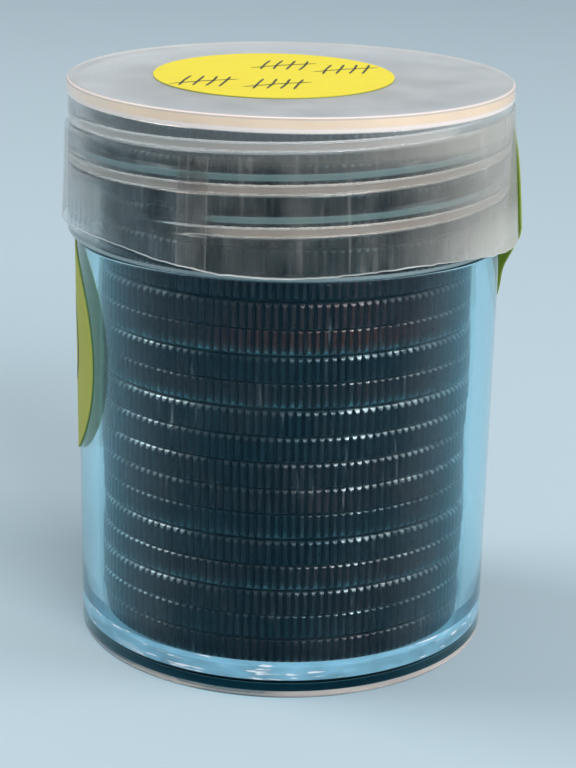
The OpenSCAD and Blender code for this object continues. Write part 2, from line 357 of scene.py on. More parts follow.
def cloudy(tree, size_mm, detail, stretch=(1, 1, 1)):
    """Noise whose blobs are about size_mm wide, and wider along an axis where stretch is under 1."""
    scale = tuple(s / size_mm for s in stretch)
    return make_node(tree, "TexNoise", {"Vector": place(tree, scale), "Scale": 1.0, "Detail": detail,
                                        "Roughness": 0.5}).outputs["Fac"]


def ramp(tree, value, low, high, out_low=0.0, out_high=1.0):
    """A value mapped from one range to another, clamped."""
    return make_node(tree, "MapRange", {"Value": value, "From Min": low, "From Max": high,
                                        "To Min": out_low, "To Max": out_high}).outputs["Result"]


def math_node(tree, operation, *values):
    """The result of one operation on values or sockets."""
    return make_node(tree, "Math", dict(enumerate(values)), operation=operation).outputs["Value"]


def product(tree, first, second):
    return math_node(tree, "MULTIPLY", first, second)


def total(tree, first, second):
    return math_node(tree, "ADD", first, second)


def largest(tree, *values):
    most = values[0]
    for value in values[1:]:
        most = math_node(tree, "MAXIMUM", most, value)
    return most


def blend_value(tree, share, first, second):
    """A number between two sockets, by a share that is a socket."""
    return make_node(tree, "Mix", {0: share, 2: first, 3: second}, data_type="FLOAT").outputs[0]


def blend_colour(tree, share, first, second):
    """A colour between two, by a share that is a value or a socket."""
    node = make_node(tree, "Mix", data_type="RGBA")
    for index, value in ((0, share), (6, first), (7, second)):
        if isinstance(value, bpy.types.NodeSocket):
            tree.links.new(value, node.inputs[index])
        else:
            node.inputs[index].default_value = value if index == 0 else (*value, 1)
    return node.outputs[2]


def bump(tree, height, depth_mm, strength):
    """A normal from a height, which is a socket that goes from 0 to 1 over a depth in millimetres."""
    return make_node(tree, "Bump", {"Height": height, "Distance": depth_mm * MM,
                                    "Strength": strength}).outputs["Normal"]


def lets_light_in(tree, shader, tint):
    """A clear surface that lamps and soft bounced light pass straight through."""
    path = make_node(tree, "LightPath")
    passing = largest(tree, path.outputs["Is Shadow Ray"], path.outputs["Is Diffuse Ray"])
    straight = make_node(tree, "BsdfTransparent", {"Color": (*tint, 1)}).outputs["BSDF"]
    return make_node(tree, "MixShader", {0: passing, 1: shader, 2: straight}).outputs["Shader"]


# The plastics. Colours are red, green and blue from 0 to 1, and lengths are in millimetres.
CLEAR_IOR = 1.5
CLEAR_SHINE = 0.33
LID_SHINE = 0.12
CLEAR_TINT = (0.86, 0.955, 0.985)
CLEAR_GLEAM = (0.08, 0.24, 0.33)
# Painted shade on the threads' flanks, and a painted highlight on the neck's thread
FLANK_PAINTED_SHADE = (0.26, 0.29, 0.3)
NECK_THREAD_HIGHLIGHT = (0.42, 0.58, 0.58)
# A painted blue sheen where the wall turns away
WALL_PAINTED_SHEEN = (0.32, 0.72, 0.9)
# Painted highlight on the foot, painted shade and light in the base's bands, white scratches, painted recess
# shade
FOOT_HIGHLIGHT_CREAM = (1, 0.86, 0.78)
BASE_PAINTED_SHADE = (0.1, 0.32, 0.38)
BASE_PAINTED_LIGHT = (0.36, 0.74, 0.96)
BASE_STREAK = (0.9, 0.95, 1)
RECESS_PAINTED_SHADE = (0.0, 0.012, 0.02)
SKIRT_GREY = (0.8, 0.8, 0.78)
FROST_GREY = (0.86, 0.88, 0.89)
SPECK_WHITE = (1, 1, 1)
RIM_CREAM = (1, 0.77, 0.58)
RIM_CREAM_LEFT = (1, 0.86, 0.74)
# Painted highlight lines along the rim's edges
RIM_HIGHLIGHT = (1, 0.86, 0.8)
MOUTH_GREY = (0.55, 0.68, 0.7)
# A painted highlight on the lid's thread
LID_THREAD_HIGHLIGHT = (1, 0.76, 0.66)
LID_TOP_ROUGHNESS = 0.34


def show_plastic(tree, colour, veil, shine, roughness, normal):
    """Clear plastic that shows its colour where it is veiled."""
    shader = make_node(tree, "BsdfPrincipled", {
        "Base Color": colour, "Transmission Weight": math_node(tree, "SUBTRACT", 1.0, veil), "IOR": CLEAR_IOR,
        "Specular Tint": (*CLEAR_GLEAM, 1), "Specular IOR Level": shine, "Roughness": roughness,
        "Normal": normal}).outputs["BSDF"]
    show(tree, lets_light_in(tree, shader, CLEAR_TINT))


def clear_plastic():
    """Clear moulded plastic: faint haze and scuffs, a streaked base with painted bands of shade and light, a
    painted highlight on the foot, painted shade in the recess, a painted blue sheen where the wall turns
    away, and painted highlights and shade on the thread.
    """
    material, tree = new_material("clear_plastic")
    height, radius = height_mm(tree), radius_mm(tree)
    outside = ramp(tree, radius, BORE_R + 0.9, BORE_R + 1.0)
    haze = ramp(tree, cloudy(tree, 6, 4), 0.5, 0.8, 0.0, 0.006)
    scuffs = ramp(tree, cloudy(tree, 0.4, 2, (1, 1, 0.1)), 0.7, 0.8, 0, 0.14)
    # Scratch streaks and painted light clouds in the base's band of painted light, and the painted shade band
    # under it
    painted_light_band = product(tree, between(tree, height, BASE_PAINTED_LIGHT_LOW_H, BASE_PAINTED_LIGHT_HIGH_H, BAND_SOFT), outside)
    painted_shade_band = product(tree, between(tree, height, FOOT_HIGHLIGHT_H, BASE_PAINTED_LIGHT_LOW_H, BAND_SOFT), outside)
    streaks = ramp(tree, cloudy(tree, 0.55, 2, (0.2, 0.2, 1.5)), 0.6, 0.66, 0, 0.95)
    painted_light_clouds = ramp(tree, cloudy(tree, 2.2, 3, (0.6, 0.6, 1.6)), 0.35, 0.7, 0.44, 0.76)
    base_light_and_scratches = product(tree, painted_light_band, largest(tree, streaks, painted_light_clouds))
    # The painted highlight line on the foot, and the painted shade in the recess under the floor
    foot_highlight_veil = ramp(tree, cloudy(tree, 7, 3, (0.6, 0.6, 3)), 0.4, 0.62, 0.2, 0.58)
    foot_highlight = product(tree, ramp(tree, height, FOOT_HIGHLIGHT_H, FOOT_HIGHLIGHT_H - 0.08), foot_highlight_veil)
    recess_shade = product(tree, ramp(tree, height, RECESS_DEPTH - 0.01, RECESS_DEPTH - 0.04),
                        ramp(tree, radius, RECESS_R + 0.12, RECESS_R + 0.06))
    # A painted blue sheen on the wall where it turns away
    turned_away = make_node(tree, "LayerWeight", {"Blend": 0.5}).outputs["Facing"]
    painted_sheen = product(tree, ramp(tree, turned_away, 0.22, 0.8, 0, 0.15), outside)
    # Painted highlights on the thread's crest and painted shade on its flanks
    crest = mark(tree, "thread")
    thread = ramp(tree, crest, 0.7, 1)
    thread_highlight = product(tree, thread, 0.5)
    veil = largest(tree, total(tree, haze, scuffs), base_light_and_scratches, foot_highlight, thread_highlight, painted_sheen)
    white = largest(tree, streaks, ramp(tree, painted_light_clouds, 0.7, 0.8, 0, 0.5))
    colour = blend_colour(tree, ramp(tree, painted_sheen, 0, 0.06), CLEAR_TINT, WALL_PAINTED_SHEEN)
    for share, over in ((ramp(tree, foot_highlight, 0, 0.3), FOOT_HIGHLIGHT_CREAM), (painted_shade_band, BASE_PAINTED_SHADE), (painted_light_band, BASE_PAINTED_LIGHT),
                        (product(tree, painted_light_band, white), BASE_STREAK), (recess_shade, RECESS_PAINTED_SHADE),
                        (between(tree, crest, 0.1, 0.8), FLANK_PAINTED_SHADE), (thread, NECK_THREAD_HIGHLIGHT)):
        colour = blend_colour(tree, share, colour, over)
    show_plastic(tree, colour, veil, CLEAR_SHINE, ramp(tree, cloudy(tree, 3, 3), 0.3, 0.7, 0.01, 0.05),
                 bump(tree, cloudy(tree, 5, 2, (1, 1, 0.4)), 0.02, 0.4))
    return material


def frosted_plastic():
    """The lid's plastic: frosted on its top, clear in its skirt, creamy at its rim with a painted highlight
    line along each edge, with painted highlights and shade on its thread.
    """
    material, tree = new_material("frosted_plastic")
    height, across = height_mm(tree), across_mm(tree)
    grain, patches = cloudy(tree, 0.35, 4), cloudy(tree, 4, 4)
    outside = ramp(tree, radius_mm(tree), LID_BORE_R + 0.3, LID_BORE_R + 0.5)
    top = ramp(tree, height, LID_TOP_H - LID_ROUND, LID_TOP_H - 0.02)
    frost = product(tree, top, ramp(tree, patches, 0.3, 0.7, 0.4, 0.56))
    specks = product(tree, top, ramp(tree, cloudy(tree, 0.45, 1), 0.74, 0.78, 0, 0.6))
    # The rim band with a painted highlight line along each edge
    rim = ramp(tree, height, RIM_LOW_H - 0.05, RIM_LOW_H + 0.05)
    cream = product(tree, rim, ramp(tree, patches, 0.3, 0.7, 0.86, 0.96))
    lower_highlight = ramp(tree, height, RIM_LOW_H + 0.42, RIM_LOW_H + 0.32)
    upper_highlight = product(tree, ramp(tree, height, LID_TOP_H - 0.18, LID_TOP_H - 0.12),
                         ramp(tree, height, LID_TOP_H - 0.01, LID_TOP_H - 0.05))
    line = product(tree, rim, largest(tree, lower_highlight, upper_highlight))
    # The skirt's mouth, and its cloudy shoulder under the rim
    mouth = product(tree, ramp(tree, height, LID_MOUTH_H + 0.36, LID_MOUTH_H + 0.3), outside)
    shoulder = product(tree, ramp(tree, height, RIM_LOW_H - 3, RIM_LOW_H - 2), outside)
    shoulder = product(tree, shoulder, ramp(tree, across, 4, 15, 0.13, 0.5))
    # Painted highlights on the thread's crest and painted shade on its flanks
    crest = mark(tree, "thread")
    thread = ramp(tree, crest, 0.7, 1)
    veil = largest(tree, blend_value(tree, top, cream, frost), ramp(tree, patches, 0.45, 0.8, 0.0, 0.012),
                   product(tree, thread, 0.48), product(tree, line, 0.95), product(tree, mouth, 0.42), specks,
                   shoulder)
    rim_colour = blend_colour(tree, ramp(tree, across, -17, -11), RIM_CREAM_LEFT, RIM_CREAM)
    colour = blend_colour(tree, rim, SKIRT_GREY, rim_colour)
    for share, over in ((top, FROST_GREY), (specks, SPECK_WHITE), (line, RIM_HIGHLIGHT), (mouth, MOUTH_GREY),
                        (between(tree, crest, 0.1, 0.8), FLANK_PAINTED_SHADE), (thread, LID_THREAD_HIGHLIGHT)):
        colour = blend_colour(tree, share, colour, over)
    roughness = largest(tree, ramp(tree, grain, 0.3, 0.7, 0.04, 0.1), product(tree, top, LID_TOP_ROUGHNESS))
    show_plastic(tree, colour, veil, LID_SHINE, roughness, bump(tree, grain, 0.02, 0.5))
    return material


# The tape's film, bluer on the left, and white where it is torn
FILM_LEFT = (0.64, 0.85, 0.98)
FILM = (0.87, 0.84, 0.78)
FILM_TORN = (0.92, 0.92, 0.9)
FILM_TINT = (0.965, 0.945, 0.93)
MILK_SHARE = 0.46


def clear_tape():
    """Cloudy packing tape with upright creases, milkier on the right and along its torn edge."""
    material, tree = new_material("clear_tape")
    edge = mark(tree, "edge")
    creases = cloudy(tree, 0.6, 4, (1, 1, 0.06))
    blotches = cloudy(tree, 2.2, 4, (1, 1, 0.6))
    veil = total(tree, ramp(tree, blotches, 0.35, 0.7, 0.01, 0.05), ramp(tree, creases, 0.58, 0.76, 0, 0.08))
    veil = total(tree, veil, product(tree, mark(tree, "milk"), MILK_SHARE))
    veil = largest(tree, veil, edge)
    film_colour = blend_colour(tree, ramp(tree, across_mm(tree), -14, -4), FILM_LEFT, FILM)
    film_colour = blend_colour(tree, ramp(tree, edge, 0.1, 0.4), film_colour, FILM_TORN)
    film = make_node(tree, "BsdfPrincipled", {
        "Base Color": film_colour, "Roughness": 0.3,
        "Normal": bump(tree, creases, 0.06, 0.6)}).outputs["BSDF"]
    through = make_node(tree, "BsdfTransparent", {"Color": (*FILM_TINT, 1)}).outputs["BSDF"]
    show(tree, make_node(tree, "MixShader", {0: veil, 1: through, 2: film}).outputs["Shader"])
    return material


# Sticker paper and pen ink. Where a colour is a pair, the material goes from one to the other.
# The shades say how much olive painted shade a sticker carries and how see-through it is, from the lid's 0 to
# 1.
YELLOW = ((0.95, 0.78, 0.015), (1, 0.85, 0.03))
YELLOW_STAIN = (0.9, 0.7, 0.02)
# Painted shade: olive on a shaded sticker's face, dull green on a sticker's back
OLIVE_PAINTED_SHADE = ((0.26, 0.34, 0.07), (0.33, 0.4, 0.09))
PAPER_BACK_PAINTED_SHADE = ((0.2, 0.27, 0.13), (0.3, 0.38, 0.17))
GLOW_FACE = (0.85, 0.9, 0.16)
GLOW_BACK = ((0.38, 0.66, 0.24), (0.62, 0.9, 0.45))
INK = ((0.012, 0.02, 0.008), (0.06, 0.06, 0.01))
SIDE_SHADE = 0.65
SEAM_SHADE = 0.75


def yellow_paper():
    """Matt yellow sticker paper with a back in dull green painted shade. A shaded sticker carries olive
    painted shade on its face and is more see-through.
    """
    material, tree = new_material("yellow_paper")
    back, shade = mark(tree, "back"), mark(tree, "shade")
    fibres, stain = cloudy(tree, 0.25, 5), cloudy(tree, 5, 3)
    yellow = blend_colour(tree, ramp(tree, fibres, 0.3, 0.7), *YELLOW)
    yellow = blend_colour(tree, ramp(tree, stain, 0.45, 0.75, 0, 0.3), yellow, YELLOW_STAIN)
    # Painted shade: olive on a shaded sticker's face and dull green on its back
    painted_shade_olive = blend_colour(tree, ramp(tree, stain, 0.4, 0.7), *OLIVE_PAINTED_SHADE)
    face = blend_colour(tree, shade, yellow, painted_shade_olive)
    sheet = make_node(tree, "BsdfPrincipled", {
        "Base Color": blend_colour(tree, back, face, blend_colour(tree, shade, *PAPER_BACK_PAINTED_SHADE)),
        "Roughness": ramp(tree, fibres, 0.3, 0.7, 0.45, 0.6),
        "Normal": bump(tree, fibres, 0.02, 0.4)}).outputs["BSDF"]
    # The light that comes through, greener from the back and paler there on the sticker over the seam
    behind = blend_colour(tree, ramp(tree, shade, 0.7, 0.72), *GLOW_BACK)
    glow = make_node(tree, "BsdfTranslucent", {
        "Color": blend_colour(tree, back, GLOW_FACE, behind)}).outputs["BSDF"]
    share = product(tree, shade, ramp(tree, back, 0, 1, 0.3, 0.9))
    show(tree, make_node(tree, "MixShader", {0: share, 1: sheet, 2: glow}).outputs["Shader"])
    return material


def pen_ink():
    """Thin dark pen ink."""
    material, tree = new_material("pen_ink")
    colour = blend_colour(tree, ramp(tree, cloudy(tree, 0.4, 3), 0.35, 0.65), *INK)
    show(tree, make_node(tree, "BsdfPrincipled", {"Base Color": colour, "Roughness": 0.5}).outputs["BSDF"])
    return material


# Toned coin metal, its tones and worn metal as pairs of colours
COOL_TONE = ((0.002, 0.009, 0.013), (0.006, 0.022, 0.028))
BROWN_TONE = ((0.04, 0.008, 0.005), (0.09, 0.024, 0.016))
WORN = ((0.9, 0.9, 0.88), (0.95, 0.78, 0.74))
# A painted teal sheen on the lower crowns
UNDER_PAINTED_SHEEN = (0.1, 0.23, 0.25)
# Grime, also used as painted shade where the coins meet
GRIME_AND_SHADE = (0.008, 0.012, 0.015)
COIN_GLEAM = (0.4, 0.75, 0.9)
COIN_METALLIC = 0.92


def toned_coin_metal():
    """Old toned silver: dark teal to brown, worn bright on its edges with painted sheen and glints there, a
    painted teal sheen on the lower crowns, and grime with painted shade where the coins meet.
    """
    material, tree = new_material("toned_coin_metal")
    warm = mark(tree, "warm")
    specks, scrape = cloudy(tree, 0.3, 4), cloudy(tree, 0.9, 4, (1, 1, 0.5))
    cool = blend_colour(tree, ramp(tree, specks, 0.35, 0.7), *COOL_TONE)
    brown = blend_colour(tree, ramp(tree, specks, 0.35, 0.7), *BROWN_TONE)
    drift = total(tree, warm, ramp(tree, cloudy(tree, 3.5, 4), 0.3, 0.7, -0.22, 0.18))
    drift.node.use_clamp = True
    base = blend_colour(tree, drift, cool, brown)
    # Worn metal, with painted sheen and glints on the edge
    rubbed_and_glinting = product(tree, mark(tree, "wear_and_glint"), ramp(tree, scrape, 0.3, 0.6, 0.25, 1))
    base = blend_colour(tree, rubbed_and_glinting, base, blend_colour(tree, warm, *WORN))
    # A painted teal sheen on the lower crown
    teal_sheen = product(tree, mark(tree, "under"), ramp(tree, scrape, 0.35, 0.6, 0.25, 1))
    base = blend_colour(tree, teal_sheen, base, UNDER_PAINTED_SHEEN)
    # Grime in the grooves and the field, and painted shade on the crowns where the coins meet
    base = blend_colour(tree, product(tree, mark(tree, "grime_and_shade"), 0.8), base, GRIME_AND_SHADE)
    shader = make_node(tree, "BsdfPrincipled", {
        "Base Color": base, "Metallic": COIN_METALLIC, "Roughness": ramp(tree, specks, 0.3, 0.7, 0.26, 0.45),
        "Specular Tint": (*COIN_GLEAM, 1), "Normal": bump(tree, specks, 0.012, 0.5)}).outputs["BSDF"]
    show(tree, shader)
    return material


# Pieces

def tube_shape():
    """The clear tube: recessed foot, drafted wall, rounded shoulder, threaded neck and bore."""
    outside = [(0, RECESS_DEPTH), (RECESS_R * 0.5, RECESS_DEPTH), (RECESS_R - RECESS_LEAN, RECESS_DEPTH)]
    outside += arc((RECESS_R + FOOT_INNER_ROUND, FOOT_INNER_ROUND), FOOT_INNER_ROUND, 180, 270, 4)
    outside += arc((FOOT_R - FOOT_ROUND, FOOT_ROUND), FOOT_ROUND, -90, 0, 10)
    top = SHOULDER_H - SHOULDER_ROUND
    outside += [(FOOT_R + WALL_DRAFT * k / WALL_ROWS, FOOT_ROUND + (top - FOOT_ROUND) * k / WALL_ROWS)
                for k in range(1, WALL_ROWS)]
    outside += arc((SHOULDER_R - SHOULDER_ROUND, top), SHOULDER_ROUND, 0, 90, 8)
    outside += [(NECK_R, SHOULDER_H)]
    band = thread_band(NECK_R, 1, NECK_THREAD_H, NECK_TURNS, SHOULDER_H, MOUTH_H - MOUTH_BEVEL)
    inside = [(NECK_R, MOUTH_H - MOUTH_BEVEL), (NECK_R - MOUTH_BEVEL, MOUTH_H),
              (BORE_R + MOUTH_INNER_ROUND, MOUTH_H)]
    inside += arc((BORE_R + MOUTH_INNER_ROUND, MOUTH_H - MOUTH_INNER_ROUND), MOUTH_INNER_ROUND, 90, 180, 3)
    inside += [(BORE_R, MOUTH_H - (MOUTH_H - FLOOR_T) * k / WALL_ROWS) for k in range(1, WALL_ROWS)]
    inside += arc((BORE_R - FLOOR_ROUND, FLOOR_T + FLOOR_ROUND), FLOOR_ROUND, 0, -90, 6)
    inside += [(BORE_R / 2, FLOOR_T), (0, FLOOR_T)]
    return threaded(outside, band, inside)


def lid_shape():
    """The screw lid: frosted disc, stepped rim band, skirt and inner thread."""
    outside = [(LID_BORE_R, LID_MOUTH_H), (LID_BORE_R + 0.1, LID_MOUTH_H),
               (LID_MOUTH_R - LID_MOUTH_ROUND, LID_MOUTH_H)]
    outside += arc((LID_MOUTH_R - LID_MOUTH_ROUND, LID_MOUTH_H + LID_MOUTH_ROUND), LID_MOUTH_ROUND, -90, 0, 5)
    outside += [(LID_TOP_R - RIM_STEP, RIM_LOW_H - 0.02), (LID_TOP_R - RIM_STEP, RIM_LOW_H)]
    outside += arc((LID_TOP_R - RIM_STEP, RIM_LOW_H + RIM_STEP), RIM_STEP, -90, 0, 5)
    outside += arc((LID_TOP_R - LID_ROUND, LID_TOP_H - LID_ROUND), LID_ROUND, 0, 90, 8)
    outside += [(LID_TOP_R * share, LID_TOP_H) for share in (0.9, 0.6, 0.3, 0)]
    corner_h = LID_CEILING_H - CEILING_BEVEL
    band = thread_band(LID_BORE_R, -1, LID_THREAD_H, LID_TURNS, LID_MOUTH_H, corner_h)
    inside = [(LID_BORE_R, corner_h), (LID_BORE_R - CEILING_BEVEL, LID_CEILING_H)]
    inside += [(LID_BORE_R * share, LID_CEILING_H) for share in (0.6, 0.3, 0)]
    return threaded(outside, band, inside)


def skirt_r(height):
    """The lid skirt's outer radius at a height."""
    share = (height - LID_MOUTH_H) / (RIM_LOW_H - LID_MOUTH_H)
    return LID_MOUTH_R + (LID_TOP_R - RIM_STEP - LID_MOUTH_R) * share


def tape_r(height, angle):
    """The radius of the tape's back: it stands off the skirt towards its lower edge."""
    below = np.maximum(0, (RIM_LOW_H - height) / (RIM_LOW_H - LID_MOUTH_H))
    return skirt_r(height) + TAPE_GAP + (TAPE_FLARE + TAPE_LEAN * np.sin(angle)) * below


def tape_top(angle):
    """The height of the tape's upper edge, which climbs to the right."""
    return TAPE_TOP_H + TAPE_TOP_TILT * np.sin(angle)


def tape_low(angle):
    """The height of the tape's lower edge, which sags in four places."""
    sag = TAPE_SAG * np.sin(4 * angle - math.radians(TAPE_SAG_A))
    return TAPE_LOW_H - TAPE_LOW_TILT * np.sin(angle) + sag


def wander(values, seed, octaves=3):
    """Smooth seeded noise along a list of numbers, about -1 to 1."""
    return np.array([noise.fractal(Vector((v, seed, 0.37)), 0.8, 2.0, octaves) for v in values])


def tape_shape():
    """The wound tape as a thin closed sheet that laps over its own start."""
    sweep = FULL + TAPE_LAP / LID_MOUTH_R
    angles = math.radians(TAPE_START_A) + np.linspace(0, sweep, TAPE_COLUMNS + 1)
    turned = (angles - angles[0]) / FULL
    ragged = 0.07 * wander(angles * 9, 3.1, 4) + 0.03 * wander(angles * 31, 5.7)
    creased = wander(angles * 14, 8.3, 4)
    torn = 0.55 + 0.35 * wander(angles * 5, 6.1)
    # Clouds and crinkles by the turn from the front, from -180 to 180 degrees
    side_deg = np.degrees((angles + math.pi) % FULL - math.pi)
    cloud = smooth_step((side_deg - 22) / 50) * smooth_step((175 - side_deg) / 60)
    cloud += 0.2 * smooth_step((-48 - side_deg) / 30) * smooth_step((side_deg + 175) / 60)
    folds = np.abs(np.sin(angles * 62))
    crinkle = np.exp(-(((side_deg + 66) / 11) ** 2)) * folds
    crinkle_lines = 0.75 * np.exp(-(((side_deg + 64) / 9) ** 2)) * folds ** 4
    from_end = np.minimum(np.arange(TAPE_COLUMNS + 1), np.arange(TAPE_COLUMNS + 1)[::-1])
    ends = 0.09 * smooth_step(1.5 - from_end)
    # Rows as shares of the way down from the upper edge, the last ones close together at the torn edge
    shares = [row / TAPE_ROWS for row in range(TAPE_ROWS - 1)] + [0.965, 0.985, 1.0]
    points, milk, edge = [], [], []
    for skin in (1, 0):
        for share in shares:
            height = tape_top(angles) + (tape_low(angles) + ragged - tape_top(angles)) * share
            wave = (0.05 * (1 + creased) / 2 + 0.09 * crinkle) * share ** 1.5
            radius = tape_r(height, angles) + np.maximum(wave, 0) + TAPE_LAYER * turned + TAPE_FILM_T * skin
            points += round_row(radius, height, angles)
            milk += list(cloud * (0.5 + 0.5 * smooth_step((share - 0.6) / 0.3)) + crinkle_lines * share ** 2)
            edge += list(np.maximum(ends, torn * smooth_step((share - 0.985) / 0.015)))
    rows, width = len(shares) - 1, TAPE_COLUMNS + 1
    count = len(shares) * width
    faces = []
    for row in range(rows):
        for column in range(TAPE_COLUMNS):
            a = row * width + column
            faces.append((a, a + width, a + width + 1, a + 1))
            faces.append((count + a, count + a + 1, count + a + width + 1, count + a + width))
    # The walls between the two skins, along the edges and across the ends
    upper_and_lower = [(first + column, 1, way) for column in range(TAPE_COLUMNS)
                       for first, way in ((0, 1), (rows * width, -1))]
    both_ends = [(row * width + column, width, way) for row in range(rows)
                 for column, way in ((0, -1), (TAPE_COLUMNS, 1))]
    for a, step, way in upper_and_lower + both_ends:
        faces.append((a, a + step, count + a + step, count + a)[::way])
    return (points, faces), {"milk": milk, "edge": edge}


def disc_sheet(diameter, surface, thickness, shade=0.0, rings=14):
    """A round sticker. surface(s, t, lift) gives the point at (s, t) of its flat, lift above its back."""
    points, back, shades = [], [], []
    for lift, is_back in ((0, 1.0), (thickness, 0.0)):
        for ring in range(rings + 1):
            radius = diameter / 2 * ring / rings
            for column in range(DISC_COLUMNS):
                a = FULL * column / DISC_COLUMNS
                points.append(surface(radius * math.cos(a), radius * math.sin(a), lift))
                back.append(is_back)
                shades.append(shade)
    count = (rings + 1) * DISC_COLUMNS
    inner = [face[::-1] for face in grid_faces(rings + 1, DISC_COLUMNS)]
    outer = grid_faces(rings + 1, DISC_COLUMNS, count)
    rim = rings * DISC_COLUMNS
    wall = [(rim + k, rim + (k + 1) % DISC_COLUMNS, count + rim + (k + 1) % DISC_COLUMNS, count + rim + k)
            for k in range(DISC_COLUMNS)]
    return (points, inner + outer + wall), {"back": back, "shade": shades}


def wall_r(height):
    """The tube wall's outer radius at a height."""
    return FOOT_R + WALL_DRAFT * height / SHOULDER_H


def on_wall(s, t, lift):
    """A point of the side sticker, s round the wall and t up it."""
    height = SIDE_LABEL_H + t
    radius = wall_r(height) + TAPE_GAP + lift
    return tuple(float(c) for c in spin(radius, height, math.radians(SIDE_LABEL_A) + s / radius))


def on_seam(s, t, lift):
    """A point of the sticker over the seam, tented from the tape down to the wall."""
    height = SEAL_LABEL_H + t
    angle = math.radians(SEAL_LABEL_A)
    # Heights of its lower edge, of the bend just under the lid's mouth and of the fold onto the wall
    low, bend, fold = SEAL_LABEL_H - SIDE_LABEL_D / 2, SEAL_BEND_H, SEAL_BEND_H - SEAL_TENT_H
    fold_round, bend_round = 0.4, 0.3
    at_fold = wall_r(fold) + SEAL_WALL_CLEAR
    steep = (tape_r(bend, angle) + SEAL_TAPE_CLEAR - wall_r(fold) - SEAL_WALL_CLEAR) / SEAL_TENT_H
    knots = [low, fold - fold_round, fold + fold_round, bend - bend_round, bend + bend_round, RIM_LOW_H]
    radii = [wall_r(low) + SEAL_WALL_CLEAR, at_fold, at_fold + fold_round * steep,
             tape_r(bend, angle) + SEAL_TAPE_CLEAR - bend_round * steep,
             tape_r(bend + bend_round, angle) + SEAL_TAPE_CLEAR, tape_r(RIM_LOW_H, angle) + SEAL_TAPE_CLEAR]
    radius = float(np.interp(height, knots, radii)) + lift
    return tuple(float(c) for c in spin(radius, height, angle + s / radius))


def on_lid(s, t, lift):
    """A point of the lid's sticker."""
    longer = (LID_LABEL_D + LID_LABEL_EXTRA) / LID_LABEL_D
    return (LID_LABEL_AT[0] + s, LID_LABEL_AT[1] + t * longer, LID_TOP_H + lift)


def stroke(path, surface, width=PEN_W):
    """A pen line along a path of (s, t) points on a sticker, tapered at its ends."""
    knots = np.array(path, float)
    per_knot, smoothings = 10, 6
    along = np.linspace(0, len(knots) - 1, per_knot * (len(knots) - 1) + 1)
    line = np.stack([np.interp(along, range(len(knots)), knots[:, axis]) for axis in (0, 1)], 1)
    for _ in range(smoothings):
        line[1:-1] = (line[:-2] + 2 * line[1:-1] + line[2:]) / 4
    ahead = np.gradient(line, axis=0)
    ahead /= np.linalg.norm(ahead, axis=1)[:, None]
    across = np.stack([-ahead[:, 1], ahead[:, 0]], 1)
    ends = np.minimum(np.arange(len(line)), np.arange(len(line))[::-1])
    half = width / 2 * np.clip((ends + 1) / 3, 0.35, 1)
    points = []
    for lift in (LABEL_T - 1.2 * INK_T, LABEL_T):
        for side in (-1, 1):
            for p in line + across * (side * half)[:, None]:
                points.append(surface(p[0], p[1], lift))
    n = len(line)
    faces = []
    for k in range(n - 1):
        faces.append((k, k + 1, n + k + 1, n + k))
        faces.append((2 * n + k, 3 * n + k, 3 * n + k + 1, 2 * n + k + 1))
        faces.append((k, 2 * n + k, 2 * n + k + 1, k + 1))
        faces.append((n + k, n + k + 1, 3 * n + k + 1, 3 * n + k))
    for k, way in ((0, 1), (n - 1, -1)):
        faces.append((k, n + k, 3 * n + k, 2 * n + k)[::way])
    return points, faces


def tally(middle):
    """Four upright pen strokes and one across them, as paths round a middle."""
    s, t = middle
    lean = TALLY_SLANT * TALLY_L / 2
    paths = []
    for k in range(4):
        at = s + (k - 1.5) * TALLY_STEP
        wobble = 0.35 * math.sin(7 * k + s)
        low = (at - lean + 0.1 * wobble, t - TALLY_L / 2 + wobble)
        high = (at + lean, t + TALLY_L / 2 + 0.6 * wobble)
        mid = ((low[0] + high[0]) / 2 + 0.12 * math.cos(5 * k + t), (low[1] + high[1]) / 2)
        paths.append([low, mid, high])
    paths.append([(s - 2.6 * TALLY_STEP, t - 0.3 * TALLY_L), (s, t + 0.05 * TALLY_L),
                  (s + 2.5 * TALLY_STEP, t + 0.28 * TALLY_L)])
    return paths


# Coins: reeds round the edge, a crowned rim, a sunk field with a star and a ring

REEDS = 150
REED_DEPTH = 0.2
RIM_W = 0.9
FIELD_DEPTH = 0.2
RELIEF_H = 0.12
RING_D = 19
RING_W = 0.5
STAR_D = 13
STAR_POINTS = 8
STAR_WAIST_SHARE = 0.45
STAR_SHIFT = 0.1
FACE_COLUMNS = 160
# The crowned rim's width and rise, wide on one face and narrow on the other
WIDE_CROWN = (0.44, 0.4)
NARROW_CROWN = (0.3, 0.2)
# Degrees that each coin is turned from the one under it, and over which its edges stay sharp
COIN_TURN = 137
COIN_SHARP_DEG = 40
# Along one reed: place as a share of its width, depth as a share of the groove's
REED_PLACE_SHARES = (0.0, 0.05, 0.25, 0.45, 0.5, 0.65, 0.75, 0.85)
REED_DEPTH_SHARES = (0.2, 0.03, 0.0, 0.03, 0.2, 0.8, 1.0, 0.8)
